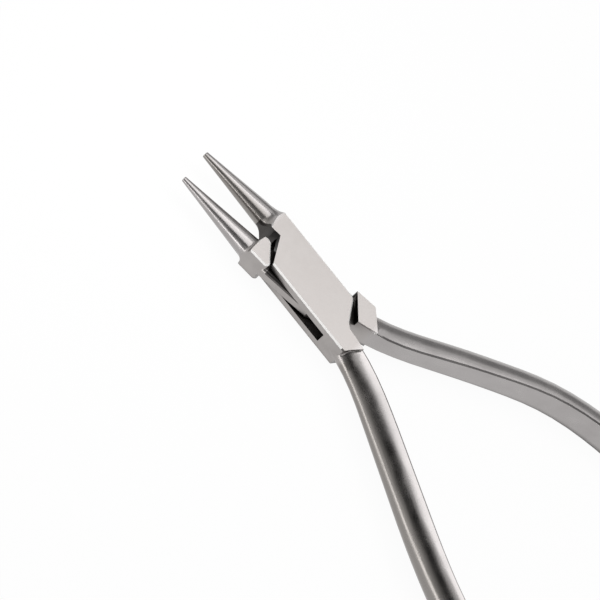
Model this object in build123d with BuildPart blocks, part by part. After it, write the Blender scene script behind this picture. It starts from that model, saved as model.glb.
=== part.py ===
from build123d import *
from math import atan2, cos, degrees, hypot, radians, tan
import os

# Orthodontic loop-forming pliers with a box joint and two round conical beaks, in millimetres.
# The origin is the pivot axis on the underside of the box, +Y runs to the beaks and +Z is up.
# Each half is drawn closed, on a plane of its own turned by half the opening.

# Opening of the pliers as they lie
rest_opening = 11.25

# Box joint
box_width = 10.75
box_thickness = 7.5
cheek_thickness = 2.1
slide_clearance = 0.04
edge_break = 0.35

# Pivot pin, peened into a countersink in each cheek and ground flush
pin_radius = 2.0
pin_clearance = 0.03
pin_head_radius = 2.7
pin_head_depth = 0.7

# Jaw line, where the two halves meet in front of the box
jaw_line = 0.28
jaw_gap = 0.06
jaw_heel_set = 0.3
jaw_heel_round = 1.5

# Shoulders, the slanted faces in front of the box and behind it
front_shoulder = 7.45
front_shoulder_angle = 34.0
front_shoulder_gap = 0.5
rear_shoulder = 8.6
rear_shoulder_angle = 36.6
rear_shoulder_gap = 0.42
shoulder_round = 1.5
shoulder_corner_round = 0.9
shoulder_corner_set = 1.8

# Slot through the box half, and the tongue that passes through it
slot_front = 8.3
slot_rear = 10.9
slot_relief = 0.4
slot_side = 0.3
slot_rear_side = 0.1
slot_overrun = 1.0
neck_step = 0.5
neck_wall = 0.77
box_neck_out = 0.55
tongue_front = 3.0
tongue_rear = 4.0
tongue_round = 0.8
tongue_root = 1.2
tongue_inset = 1.0

# Beaks, round cones that flare into the noses of their blocks
beak_tip_round = 0.2
box_tip_radius = 0.7
box_beak_length = 19.7
box_flare_angle = 48.0
box_flare_radius = 3.0
box_beak_ahead = 4.35
box_beak_trim = 0.58
tongue_tip_radius = 0.6
tongue_beak_length = 20.7
tongue_flare_angle = 80.0
tongue_flare_radius = 0.9
tongue_beak_ahead = 1.85
tongue_beak_trim = 0.22
tongue_nose_inset = 0.28
nose_round = 0.55
nose_back = 2.3
nose_overlap = 0.5
rim_margin = 1.2
rim_depth = 9.0

half_width = box_width / 2
mid_height = box_thickness / 2
neck_back = rear_shoulder + (half_width + box_neck_out - neck_step) * tan(radians(rear_shoulder_angle)) + neck_wall

# Where each block ends: its outer corner, the middle of its end and its inner corner
box_block_end = ((half_width, 16.2), (3.3, 17.2), (1.0, 18.6))
tongue_block_end = ((half_width, 14.3), (3.2, 16.2), (0.75, 18.2))

# Handle stations: distance outward, distance back, width of the inner flat, depth behind it
box_handle = [
    (box_neck_out, neck_back, 7.3, 4.8),
    (1.85, 24.0, 6.2, 5.7),
    (5.85, 35.0, 7.0, 5.9),
    (10.4, 46.0, 7.6, 5.9),
    (15.0, 57.0, 8.3, 5.8),
    (19.2, 68.0, 8.9, 5.5),
    (22.4, 80.0, 9.3, 5.3),
    (23.7, 92.0, 9.1, 5.1),
    (23.7, 104.0, 8.4, 4.7),
]
tongue_handle = [
    (-0.3, neck_back, 7.3, 5.2),
    (2.75, 24.0, 6.2, 5.6),
    (8.4, 35.0, 7.0, 5.5),
    (14.0, 46.0, 7.6, 5.3),
    (18.7, 57.0, 8.3, 5.15),
    (21.0, 68.0, 8.9, 5.0),
    (21.6, 80.0, 9.3, 5.0),
    (21.3, 92.0, 9.1, 4.9),
    (20.7, 104.0, 8.4, 4.6),
]
handle_steps = 24
handle_ridge_break = 0.3
handle_ridge_angle = 4.0
handle_end_bevel = 0.8

box_plane = Plane.XY.rotated((0, 0, -rest_opening / 2))
tongue_plane = Plane.XY.rotated((0, 0, rest_opening / 2))
rim_radius = hypot(half_width / 2, mid_height) + rim_margin


def front_line(x, gap=0.0):
    rise = (x + half_width) * tan(radians(front_shoulder_angle))
    return front_shoulder + gap / cos(radians(front_shoulder_angle)) + rise


def rear_line(x, gap=0.0):
    fall = (half_width - x) * tan(radians(rear_shoulder_angle))
    return -rear_shoulder - gap / cos(radians(rear_shoulder_angle)) - fall


def jaw_edge(side, set_back=0.0):
    return jaw_line + side * jaw_gap / 2 + set_back


def nearest(sketch, point):
    return sketch.vertices().sort_by_distance(Vector(*point))[0]


def long_edges(part, axis):
    return part.edges().filter_by(axis).filter_by(lambda edge: edge.length > box_thickness)


def beak_profile(plane, tip_radius, base_radius, length, flare_angle, flare_radius):
    flare = (base_radius, -length)
    rim = -length - (rim_radius - flare[0]) / tan(radians(flare_angle))
    with BuildSketch(plane) as profile:
        with BuildLine():
            Polyline(
                (0, 0),
                (tip_radius, 0),
                flare,
                (rim_radius, rim),
                (rim_radius, rim - rim_depth),
                (0, rim - rim_depth),
                close=True,
            )
        make_face()
        fillet(nearest(profile, flare), flare_radius)
        fillet(nearest(profile, (tip_radius, 0)), beak_tip_round)
    return profile.sketch


def beak(half_plane, side, base, block, tip_radius, base_radius, length, flare_angle, flare_radius):
    tip = (jaw_edge(side) + side * tip_radius, base + length, mid_height)
    taper = degrees(atan2(base_radius - tip_radius, length))
    plane = Plane(half_plane.location * Location(tip, (0, 0, side * taper)))
    profile = beak_profile(plane, tip_radius, base_radius, length, flare_angle, flare_radius)
    cone = revolve(profile, axis=Axis(plane.origin, plane.y_dir), mode=Mode.PRIVATE)
    nose = (cone & block).solid()
    outward = Axis(half_plane.origin, half_plane.x_dir * side)
    corner = nose.edges().filter_by(GeomType.LINE, reverse=True).sort_by(outward)[-1]
    return nose.fillet(nose_round, [corner])


def flat_section(plane, flat_width, depth):
    with BuildSketch(plane) as section:
        with BuildLine():
            ridge = handle_ridge_angle
            back = EllipticalCenterArc((0, 0), depth, flat_width / 2, start_angle=ridge - 90, arc_size=180 - 2 * ridge)
            flat = Line((0, handle_ridge_break - flat_width / 2), (0, flat_width / 2 - handle_ridge_break))
            Line(back @ 1, flat @ 1)
            Line(flat @ 0, back @ 0)
        make_face()
    return section.sketch


def handle(half_plane, side, stations):
    flat_line = Spline(*[(side * out, -back, mid_height) for out, back, flat_width, depth in stations])
    size_line = Spline(*[(flat_width, -back, depth) for out, back, flat_width, depth in stations])
    sections = []
    for step in range(handle_steps + 1):
        along = flat_line % (step / handle_steps)
        size = size_line @ (step / handle_steps)
        outward = Vector(0, 0, 1).cross(along) * side
        station = Plane(origin=flat_line @ (step / handle_steps), x_dir=outward, z_dir=along)
        sections.append(half_plane * flat_section(station, size.X, size.Z))
    end = Plane(origin=station.origin + along * handle_end_bevel, x_dir=outward, z_dir=along)
    end_section = flat_section(end, size.X - 2 * handle_end_bevel, size.Z - handle_end_bevel)
    sections.append(half_plane * end_section)
    return loft(sections, ruled=True, mode=Mode.PRIVATE).solid()


def pin_outline():
    with BuildSketch(Plane.XZ) as outline:
        with BuildLine():
            Polyline(
                (0, 0),
                (pin_head_radius, 0),
                (pin_radius, pin_head_depth),
                (pin_radius, box_thickness - pin_head_depth),
                (pin_head_radius, box_thickness),
                (0, box_thickness),
                close=True,
            )
        make_face()
    return outline.sketch


# Box half: right-hand beak, both cheeks round the slot, left-hand handle
box_axis = Axis((0, 0, 0), box_plane.y_dir)
box_across = Axis((0, 0, 0), box_plane.x_dir)
box_heel = jaw_edge(1, jaw_heel_set)
box_beak_base = front_line(box_heel) + box_beak_ahead
box_nose = box_beak_base - nose_back
box_base_radius = (half_width - jaw_edge(1) + box_beak_trim) / 2
box_neck = -box_neck_out
with BuildPart() as box_half:
    with BuildSketch(box_plane):
        with BuildLine():
            Polyline(
                (jaw_edge(1), box_nose - nose_overlap),
                (half_width, box_nose - nose_overlap),
                (half_width, box_beak_base + box_beak_length),
                (jaw_edge(1), box_beak_base + box_beak_length),
                close=True,
            )
        make_face()
    nose_block = extrude(amount=box_thickness, mode=Mode.PRIVATE).solid()
    outer_edges = nose_block.faces().sort_by(box_across)[-1].edges().filter_by(box_axis)
    nose_block = nose_block.chamfer(edge_break, None, outer_edges)
    add(
        beak(
            box_plane,
            1,
            box_beak_base,
            nose_block,
            box_tip_radius,
            box_base_radius,
            box_beak_length,
            box_flare_angle,
            box_flare_radius,
        )
    )
    with BuildSketch(box_plane) as outline:
        with BuildLine():
            Polyline(
                (-box_block_end[2][0], -box_block_end[2][1]),
                (box_neck, -neck_back),
                (box_neck + neck_step, rear_line(box_neck + neck_step)),
                (half_width, -rear_shoulder),
                (half_width, box_nose),
                (jaw_edge(1), box_nose),
                (box_heel, front_line(box_heel)),
                (-half_width, front_shoulder),
                (-half_width, -box_block_end[0][1]),
            )
            ThreePointArc(*[(-x, -y) for x, y in box_block_end])
        make_face()
        fillet(nearest(outline, (half_width, -rear_shoulder)), shoulder_round)
    cheeks = extrude(amount=box_thickness, mode=Mode.PRIVATE).solid()
    add(cheeks.chamfer(edge_break, None, long_edges(cheeks, box_axis)))
    with BuildSketch(box_plane.offset(cheek_thickness)):
        with BuildLine():
            Polyline(
                (-half_width - slot_overrun, front_line(box_heel)),
                (box_heel - slot_side, front_line(box_heel) + slot_relief),
                (half_width, slot_front),
                (half_width + slot_overrun, slot_front),
                (half_width + slot_overrun, -neck_back),
                (box_neck + slot_rear_side, -neck_back),
                (-half_width, -slot_rear),
                (-half_width - slot_overrun, -slot_rear),
                close=True,
            )
        make_face()
    extrude(amount=box_thickness - 2 * cheek_thickness, mode=Mode.SUBTRACT)
    add(handle(box_plane, -1, box_handle))
    revolve(pin_outline(), axis=Axis.Z, mode=Mode.SUBTRACT)

# Tongue half: left-hand beak and its block, the tongue, the rear shoulder and right-hand handle
tongue_axis = Axis((0, 0, 0), tongue_plane.y_dir)
tongue_heel = jaw_edge(-1, jaw_heel_set)
tongue_beak_base = front_line(tongue_heel, front_shoulder_gap) + tongue_beak_ahead
tongue_inner = tongue_heel - tongue_root
tongue_nose_side = -half_width + tongue_nose_inset
tongue_base_radius = (jaw_edge(-1) - tongue_nose_side + tongue_beak_trim) / 2
front_corner = (-half_width, front_line(-half_width, front_shoulder_gap))
tongue_thickness = box_thickness - 2 * (cheek_thickness + slide_clearance)
with BuildPart() as tongue_half:
    with BuildSketch(tongue_plane) as front_outline:
        with BuildLine():
            Polyline(
                (jaw_edge(-1), tongue_beak_base + tongue_beak_length),
                (jaw_edge(-1), tongue_beak_base - nose_round),
                (tongue_heel, front_line(tongue_heel, front_shoulder_gap)),
                front_corner,
                (-half_width, front_corner[1] + shoulder_corner_set),
                (tongue_nose_side, tongue_beak_base - nose_round),
                (tongue_nose_side, tongue_beak_base + tongue_beak_length),
                close=True,
            )
        make_face()
        fillet(nearest(front_outline, (tongue_heel, front_line(tongue_heel))), jaw_heel_round)
        fillet(nearest(front_outline, front_corner), shoulder_corner_round)
    front_block = extrude(amount=box_thickness, mode=Mode.PRIVATE)
    faces = front_block.faces().sort_by(Axis.Z)
    front_block = front_block.solid().chamfer(edge_break, None, faces[0].edges() + faces[-1].edges())
    add(
        beak(
            tongue_plane,
            -1,
            tongue_beak_base,
            front_block,
            tongue_tip_radius,
            tongue_base_radius,
            tongue_beak_length,
            tongue_flare_angle,
            tongue_flare_radius,
        )
    )
    with BuildSketch(tongue_plane.offset(cheek_thickness + slide_clearance)):
        with BuildLine():
            Polyline(
                (-half_width, front_corner[1] + shoulder_corner_set),
                (-half_width, -tongue_rear),
                (tongue_handle[0][0], -neck_back),
                (half_width - tongue_inset, -neck_back),
                (half_width, rear_line(half_width, rear_shoulder_gap) - tongue_inset),
                (half_width, tongue_front),
                (tongue_inner, front_line(tongue_inner, front_shoulder_gap)),
                (tongue_inner, tongue_beak_base - nose_back),
                close=True,
            )
        make_face()
    tongue = extrude(amount=tongue_thickness, mode=Mode.PRIVATE).solid()
    add(tongue.fillet(tongue_round, long_edges(tongue, tongue_axis)))
    with BuildSketch(tongue_plane):
        with BuildLine():
            Polyline(
                (tongue_block_end[2][0], -tongue_block_end[2][1]),
                (tongue_handle[0][0], -neck_back),
                (half_width, rear_line(half_width, rear_shoulder_gap)),
                (half_width, -tongue_block_end[0][1]),
            )
            ThreePointArc(*[(x, -y) for x, y in tongue_block_end])
        make_face()
    extrude(amount=box_thickness)
    add(handle(tongue_plane, 1, tongue_handle))
    with Locations((0, 0)):
        Hole(pin_radius + pin_clearance)

# Pivot pin
with BuildPart() as pivot_pin:
    revolve(pin_outline(), axis=Axis.Z)

os.makedirs("parts", exist_ok=True)
box_half.part.label = "box_half"
export_step(box_half.part, "parts/box_half.step")
tongue_half.part.label = "tongue_half"
export_step(tongue_half.part, "parts/tongue_half.step")
pivot_pin.part.label = "pivot_pin"
export_step(pivot_pin.part, "parts/pivot_pin.step")
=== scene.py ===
from math import cos, pi, radians, sin, tan
import bmesh
import bpy
from mathutils import Matrix, Vector


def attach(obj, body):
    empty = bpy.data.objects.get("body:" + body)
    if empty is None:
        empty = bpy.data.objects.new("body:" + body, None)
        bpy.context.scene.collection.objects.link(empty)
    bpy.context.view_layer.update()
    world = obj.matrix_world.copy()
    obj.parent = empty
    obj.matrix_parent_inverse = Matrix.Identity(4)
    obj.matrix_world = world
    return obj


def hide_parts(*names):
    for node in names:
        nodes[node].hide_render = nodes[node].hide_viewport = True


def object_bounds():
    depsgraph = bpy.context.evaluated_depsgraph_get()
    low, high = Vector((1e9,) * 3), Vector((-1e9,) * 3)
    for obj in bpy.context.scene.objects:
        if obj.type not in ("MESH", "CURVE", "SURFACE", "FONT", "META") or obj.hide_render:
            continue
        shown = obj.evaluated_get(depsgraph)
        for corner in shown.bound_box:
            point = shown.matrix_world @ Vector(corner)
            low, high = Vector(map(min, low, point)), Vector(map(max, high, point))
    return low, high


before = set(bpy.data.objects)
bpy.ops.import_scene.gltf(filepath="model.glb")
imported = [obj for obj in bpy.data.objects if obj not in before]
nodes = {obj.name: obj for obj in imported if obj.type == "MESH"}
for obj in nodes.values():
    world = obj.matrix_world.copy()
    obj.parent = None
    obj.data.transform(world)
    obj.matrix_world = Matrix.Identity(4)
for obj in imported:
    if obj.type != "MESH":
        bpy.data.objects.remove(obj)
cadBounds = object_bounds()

print("frame loaded")
scene = bpy.context.scene
mm = 0.001


def deselectAll():
    bpy.ops.object.select_all(action="DESELECT")


def makeActive(piece):
    deselectAll()
    piece.select_set(True)
    bpy.context.view_layer.objects.active = piece


# shader maths: a socket that takes part in plain expressions
class Value:
    def __init__(self, shader, socket):
        self.shader = shader
        self.socket = socket

    def maths(self, operation, first, second):
        return self.shader.node("ShaderNodeMath", {"operation": operation}, {0: first, 1: second})

    def __add__(self, other):
        return self.maths("ADD", self, other)

    def __radd__(self, other):
        return self.maths("ADD", other, self)

    def __sub__(self, other):
        return self.maths("SUBTRACT", self, other)

    def __rsub__(self, other):
        return self.maths("SUBTRACT", other, self)

    def __mul__(self, other):
        return self.maths("MULTIPLY", self, other)

    def __rmul__(self, other):
        return self.maths("MULTIPLY", other, self)

    def __gt__(self, other):
        return self.maths("GREATER_THAN", self, other)

    def __lt__(self, other):
        return self.maths("LESS_THAN", self, other)


class Shader:
    def __init__(self, owner):  # owner is a material or a world
        owner.use_nodes = True
        self.tree = owner.node_tree
        self.tree.nodes.clear()

    # settings are set first, inputs are numbers or links by socket
    def node(self, kind, settings, inputs, output=0):
        node = self.tree.nodes.new(kind)
        for name, value in settings.items():
            setattr(node, name, value)
        for name, value in inputs.items():
            if isinstance(value, Value):
                self.tree.links.new(value.socket, node.inputs[name])
            else:
                node.inputs[name].default_value = value
        return Value(self, node.outputs[output])

    def finish(self, surface, kind="ShaderNodeOutputMaterial"):
        self.tree.links.new(surface.socket, self.tree.nodes.new(kind).inputs["Surface"])

    def seenDirectly(self):
        kinds = ("Is Camera Ray", "Is Glossy Ray", "Is Transmission Ray")
        camera, glossy, through = [self.node("ShaderNodeLightPath", {}, {}, kind) for kind in kinds]
        return camera.maths("MINIMUM", camera + glossy + through, 1.0)

    def larger(self, first, second):
        return first.maths("MAXIMUM", first, second)

    def between(self, value, low, high):
        return (value > low) * (value < high)

    def ramp(self, value, low, high):
        return self.node("ShaderNodeMapRange", {}, {"Value": value, "From Min": low, "From Max": high})

    def places(self):
        return self.node("ShaderNodeTexCoord", {}, {}, "Object")

    def normals(self):
        return self.node("ShaderNodeTexCoord", {}, {}, "Normal")

    def parts(self, vector, axes="XYZ"):
        return [self.node("ShaderNodeSeparateXYZ", {}, {0: vector}, axis) for axis in axes]

    def noise(self, vector, scale, detail):
        return self.node("ShaderNodeTexNoise", {}, {"Vector": vector, "Scale": scale, "Detail": detail})

    def mixColours(self, factor, first, second):
        return self.node("ShaderNodeMix", {"data_type": "RGBA"}, {0: factor, 6: first, 7: second}, 2)

    def mixShaders(self, factor, first, second):
        return self.node("ShaderNodeMixShader", {}, {0: factor, 1: first, 2: second})

    def white(self, kind, strength):
        return self.node(kind, {}, {"Color": (1, 1, 1, 1), "Strength": strength})


# steel: ground satin flats, finer polish on the cones and the handles, a painted highlight on the eased
# edges and the handle's ridge, painted shade in the crevices, in the joint and on the flanks that face -X
steelLook = {
    "satin": (0.402, 0.380, 0.369, 1),
    "satinShade": (0.342, 0.321, 0.311, 1),
    "polish": (0.388, 0.370, 0.366, 1),
    "polishShade": (0.348, 0.331, 0.327, 1),
    # painted shade on the polished flanks that face -X
    "paintedFlankShade": (0.25, 0.234, 0.22, 1),
    # painted highlight: a pale colour on the eased edges stands in for the light they catch
    "paintedHighlight": (0.92, 0.91, 0.9, 1),
    # painted shade, near black, laid in the crevices and the joint
    "paintedCreviceShade": (0.02, 0.018, 0.017, 1),
    "satinRoughness": 0.34,
    "coneRoughness": 0.26,
    "handleRoughness": 0.25,
    "highlightRoughness": 0.75,
    "mottleScale": 220.0,
    "mottleDetail": 4.0,
    "mottleRange": (0.3, 0.7),
    "mottleMiddle": 0.5,
    "mottleRoughness": 0.08,
    "grainScale": 2600.0,
    "grainDetail": 2.0,
    "grainPolished": 0.8,  # the share of the grain that the polish takes away
    "grainStrength": 0.06,
    "grainDepth": 0.02 * mm,
    "coneRange": (13.8 * mm, 14.6 * mm),  # along Y, where satin turns into polish
    "backRange": (-16.4 * mm, -17.6 * mm),
    "highlightEnd": -15.6 * mm,
    "highlightRise": 3.3 * mm,  # from the middle of the thickness
    "midHeight": 3.75 * mm,
    "highlightLean": (0.1, 0.97),  # squares of the normal's Z, as are notchLean and tongueLean
    # the notch and tongue values place the painted shade of the joint
    "notchStart": 3.5 * mm,
    "notchSide": 4.7 * mm,
    "notchLean": 0.3,
    "notchPaintedShade": 0.85,
    "tongueStart": -8 * mm,
    "tongueHeights": (1.9 * mm, 5.6 * mm),
    "tongueLean": 0.04,
    "flankAside": (-0.15, -0.5),  # the normal's X
    # the ridge values place the painted highlight on the handle's ridge
    "ridgeAside": -0.3,
    "ridgeLean": (0.1, 0.6),  # the normal's Z
    "creviceReach": 3.0 * mm,
    "creviceRange": (0.5, 0.85),
    "creviceSamples": 8,
}
# patterns: turn lines the pattern up with the half, notchEnd and tongueEnd are where the painted shade of
# the joint stops (the box half has no tongue), the flank value is how strong the painted shade is on the
# flanks that face -X, the ridge value is how strong the painted highlight on the handle's ridge is
boxPattern = {
    "turn": radians(5.625),
    "notchEnd": 17 * mm,
    "tongueEnd": -9 * mm,
    "paintedFlankShadeStrength": 0.9,
    "paintedRidgeHighlight": 0.0,
}
tonguePattern = {
    "turn": radians(-5.625),
    "notchEnd": 13.4 * mm,
    "tongueEnd": 8.3 * mm,
    "paintedFlankShadeStrength": 0.0,
    "paintedRidgeHighlight": 1.0,
}


def makeSteel(name, pattern):
    look = steelLook
    material = bpy.data.materials.new(name)
    shader = Shader(material)
    place = shader.places()
    y = shader.parts(place, "Y")[0]
    aside, lean = shader.parts(shader.normals(), "XZ")
    leanSquare = lean * lean
    cone = shader.ramp(y, *look["coneRange"])
    back = shader.ramp(y, *look["backRange"])
    polished = cone + back
    turned = {"Vector": place, "Rotation": (0, 0, pattern["turn"])}
    across, along, height = shader.parts(shader.node("ShaderNodeMapping", {}, turned))

    # painted shade in the notch between the beaks and where the tongue runs under the cheeks
    notch = shader.between(along, look["notchStart"], pattern["notchEnd"])
    notch = notch * (leanSquare < look["notchLean"]) * (across * across < look["notchSide"] ** 2)
    tongue = shader.between(along, look["tongueStart"], pattern["tongueEnd"])
    tongue = tongue * (leanSquare > look["tongueLean"]) * shader.between(height, *look["tongueHeights"])
    paintedJointShade = shader.larger(notch, tongue)
    # painted highlight on the eased edges, away from the cones and from the middle of the thickness
    edges = shader.between(leanSquare, *look["highlightLean"]) * (1 - cone) * (along > look["highlightEnd"])
    rise = height - look["midHeight"]
    edges = edges * (rise * rise > look["highlightRise"] ** 2)
    # painted shade on the polished flanks that face -X, box half only
    flank = pattern["paintedFlankShadeStrength"] * polished * shader.ramp(aside, *look["flankAside"])
    # painted highlight on the handle's ridge, tongue half only
    ridge = pattern["paintedRidgeHighlight"] * back * (aside < look["ridgeAside"])
    ridge = ridge * shader.between(lean, *look["ridgeLean"])
    cloud = shader.noise(place, look["mottleScale"], look["mottleDetail"])
    mottle = shader.ramp(cloud, *look["mottleRange"])

    colour = shader.mixColours(mottle, look["satinShade"], look["satin"])
    polish = shader.mixColours(mottle, look["polishShade"], look["polish"])
    colour = shader.mixColours(polished, colour, polish)
    colour = shader.mixColours(flank, colour, look["paintedFlankShade"])
    colour = shader.mixColours(edges + ridge, colour, look["paintedHighlight"])
    # painted shade: darker where ambient occlusion finds crevices, darker still in the notch and the
    # tongue's run
    samples = {"samples": look["creviceSamples"]}
    reach = {"Distance": look["creviceReach"]}
    hidden = shader.node("ShaderNodeAmbientOcclusion", samples, reach, "AO")
    bare = shader.ramp(hidden, *look["creviceRange"]) * (1 - look["notchPaintedShade"] * paintedJointShade)
    colour = shader.mixColours(bare, look["paintedCreviceShade"], colour)

    satin = look["satinRoughness"]
    roughness = satin + (mottle - look["mottleMiddle"]) * look["mottleRoughness"]
    for mask, goal in ((cone, "coneRoughness"), (back, "handleRoughness"), (edges, "highlightRoughness")):
        roughness = roughness + mask * (look[goal] - satin)
    grain = shader.noise(place, look["grainScale"], look["grainDetail"])
    grain = grain * (1 - look["grainPolished"] * polished)
    relief = {"Strength": look["grainStrength"], "Distance": look["grainDepth"], "Height": grain}
    bump = shader.node("ShaderNodeBump", {}, relief)
    inputs = {"Base Color": colour, "Roughness": roughness, "Metallic": 1.0, "Normal": bump}
    shader.finish(shader.node("ShaderNodeBsdfPrincipled", {}, inputs))
    return material


# halves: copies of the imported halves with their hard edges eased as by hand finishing
halfLook = {
    "weld": 0.002 * mm,
    "flatAngle": radians(0.6),
    "edgeAngle": radians(24),
    "edgeEase": 0.18 * mm,
    "edgeSteps": 2,
    "smoothAngle": radians(32),
    "flatWeight": 90,
}


# only the outward edges are eased, an eased inward corner would fill the joint
def markOutwardEdges(piece, angle):
    mesh = bmesh.new()
    mesh.from_mesh(piece.data)
    weight = mesh.edges.layers.float.new("bevel_weight_edge")
    for edge in mesh.edges:
        if edge.calc_face_angle_signed(0.0) > angle:
            edge[weight] = 1.0
    mesh.to_mesh(piece.data)
    mesh.free()


def dressHalf(node, body, name, material):
    look = halfLook
    makeActive(nodes[node])
    bpy.ops.object.duplicate()
    half = bpy.context.object
    half.name = name
    bpy.ops.object.mode_set(mode="EDIT")
    bpy.ops.mesh.select_all(action="SELECT")
    bpy.ops.mesh.remove_doubles(threshold=look["weld"])
    bpy.ops.mesh.dissolve_limited(angle_limit=look["flatAngle"])
    bpy.ops.object.mode_set(mode="OBJECT")
    markOutwardEdges(half, look["edgeAngle"])
    ease = half.modifiers.new("easedEdges", "BEVEL")
    ease.limit_method = "WEIGHT"
    ease.width = look["edgeEase"]
    ease.segments = look["edgeSteps"]
    bpy.ops.object.modifier_apply(modifier=ease.name)
    bpy.ops.object.shade_smooth_by_angle(angle=look["smoothAngle"])
    flats = half.modifiers.new("flatNormals", "WEIGHTED_NORMAL")
    flats.keep_sharp = True
    flats.weight = look["flatWeight"]
    bpy.ops.object.modifier_apply(modifier=flats.name)
    half.data.materials.clear()
    half.data.materials.append(material)
    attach(half, body)
    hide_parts(node)
    print(name, "has", len(half.data.polygons), "faces")


boxSteel = makeSteel("boxSteel", boxPattern)
tongueSteel = makeSteel("tongueSteel", tonguePattern)
dressHalf("box_half", "box", "dressedBoxHalf", boxSteel)
dressHalf("tongue_half", "tongue", "dressedTongueHalf", tongueSteel)
nodes["pivot_pin"].data.materials.clear()
nodes["pivot_pin"].data.materials.append(boxSteel)
print("steel done")


# studio: pale floor and air, softboxes overhead, over the beaks and at the side, cards that the steel
# mirrors
studio = {
    "floorTop": cadBounds[0][2] - 0.05 * mm,
    "floorSize": 6.0,
    "floorColour": (0.96, 0.96, 0.96, 1),
    "floorGlow": 0.95,
    "ambient": 0.55,
    "cardFade": 0.3,  # how far above its middle a card reaches its top level
}
# lamps: middle, width and length, radiance, turn about Y in degrees
lamps = {
    "overheadBox": ((0.27, -0.325, 0.6), (0.35, 0.79), 1.86, 0),
    "beakBox": ((0.003, 0.05, 0.08), (0.078, 0.052), 2.1, 0),
    "sideBox": ((-0.78, -0.12, 0.08), (0.15, 0.9), 3.3, -90),
    "sideBoxAhead": ((-0.78, 0.61, 0.135), (0.26, 0.55), 2.6, -90),
}
# cards: turn from -X towards +Y, upper and lower edge in degrees from the zenith, distance, half length,
# level at the top and at the bottom
cards = {
    "beakCard": (0, 16.5, 76, 0.6, 0.4, 0.01, 0.35),
    "handleCard": (45, 14, 71, 0.61, 0.36, 0.01, 1.15),
    "farHandleCard": (-45, 16.5, 77, 0.61, 0.5, 0.06, 0.9),
    "frontCard": (72, 9, 76, 0.62, 0.62, 0.01, 0.8),
    "rearCard": (180, 58, 92, 0.7, 1.0, 0.35, 0.35),
}


def addPanel(name, size, place, rotation, scale, material):
    deselectAll()
    bpy.ops.mesh.primitive_plane_add(size=size, location=place, rotation=rotation)
    panel = bpy.context.object
    panel.name = name
    panel.scale = scale
    bpy.ops.object.transform_apply(location=True, rotation=True, scale=True)
    panel.data.materials.append(material)
    return panel


def addFloor():
    material = bpy.data.materials.new("paleFloor")
    shader = Shader(material)
    matt = shader.node("ShaderNodeBsdfDiffuse", {}, {"Color": studio["floorColour"]})
    glow = studio["floorGlow"] * shader.seenDirectly()
    shader.finish(shader.mixShaders(glow, matt, shader.white("ShaderNodeEmission", 1.0)))
    addPanel("floor", studio["floorSize"], (0, 0, studio["floorTop"]), (0, 0, 0), (1, 1, 1), material)


def addCard(name):
    turn, upper, lower, distance, halfLength, topLevel, bottomLevel = cards[name]
    turn = radians(turn)
    middle = radians(upper + lower) / 2
    width = 2 * distance * tan(radians(lower - upper) / 2)
    rise = width / 2 * sin(middle)
    place = Vector((-sin(middle) * cos(turn), sin(middle) * sin(turn), cos(middle))) * distance
    material = bpy.data.materials.new(name + "Face")
    shader = Shader(material)
    height = shader.parts(shader.places(), "Z")[0]
    up = shader.ramp(height, place.z - rise, place.z + studio["cardFade"] * rise)
    bottom, top = [shader.white("ShaderNodeEmission", level) for level in (bottomLevel, topLevel)]
    shader.finish(shader.mixShaders(up, bottom, top))
    card = addPanel(name, 1, place, (0, -middle, -turn), (width, 2 * halfLength, 1), material)
    card.visible_camera = False
    card.visible_diffuse = False
    card.visible_shadow = False


def addLamp(name):
    place, size, radiance, turn = lamps[name]
    light = bpy.data.lights.new(name, "AREA")
    light.shape = "RECTANGLE"
    light.size, light.size_y = size
    light.energy = radiance * pi * light.size * light.size_y
    lamp = bpy.data.objects.new(name, light)
    scene.collection.objects.link(lamp)
    lamp.location = place
    lamp.rotation_euler = (0, radians(turn), 0)
    lamp.visible_camera = False


def addWorld():
    world = bpy.data.worlds.new("studioAir")
    scene.world = world
    shader = Shader(world)
    levels = (studio["ambient"], 1.0)
    ambient, white = [shader.white("ShaderNodeBackground", level) for level in levels]
    air = shader.mixShaders(shader.seenDirectly(), ambient, white)
    shader.finish(air, "ShaderNodeOutputWorld")


photoCamera = {
    "elevation": radians(57),
    "roll": radians(46.5),
    "distance": 0.7,
    "focus": 3290,  # in pixels of the frame
    "target": (0, 0, 7.5 * mm),
    "targetPixel": (312.4, 278.8),
    "frame": 600,
    "sensor": 36,
    "clipStart": 0.01,
}


def addCamera():
    see = photoCamera
    side = Vector((0, -1, 0))
    back = Vector((-cos(see["elevation"]), 0, sin(see["elevation"])))
    up = back.cross(side)
    right = side * cos(see["roll"]) + up * sin(see["roll"])
    top = up * cos(see["roll"]) - side * sin(see["roll"])
    perPixel = see["distance"] / see["focus"]
    middle = see["frame"] / 2
    place = Vector(see["target"]) + back * see["distance"]
    place -= right * (see["targetPixel"][0] - middle) * perPixel
    place += top * (see["targetPixel"][1] - middle) * perPixel
    lens = bpy.data.cameras.new("photoCamera")
    lens.sensor_width = see["sensor"]
    lens.lens = see["sensor"] * see["focus"] / see["frame"]
    lens.clip_start = see["clipStart"]
    camera = bpy.data.objects.new("photoCamera", lens)
    scene.collection.objects.link(camera)
    turn = Matrix((right, top, back)).transposed().to_4x4()
    camera.matrix_world = Matrix.Translation(place) @ turn
    scene.camera = camera


addFloor()
addWorld()
for name in lamps:
    addLamp(name)
for name in cards:
    addCard(name)
addCamera()
scene.view_settings.view_transform = "Standard"
print("studio done")
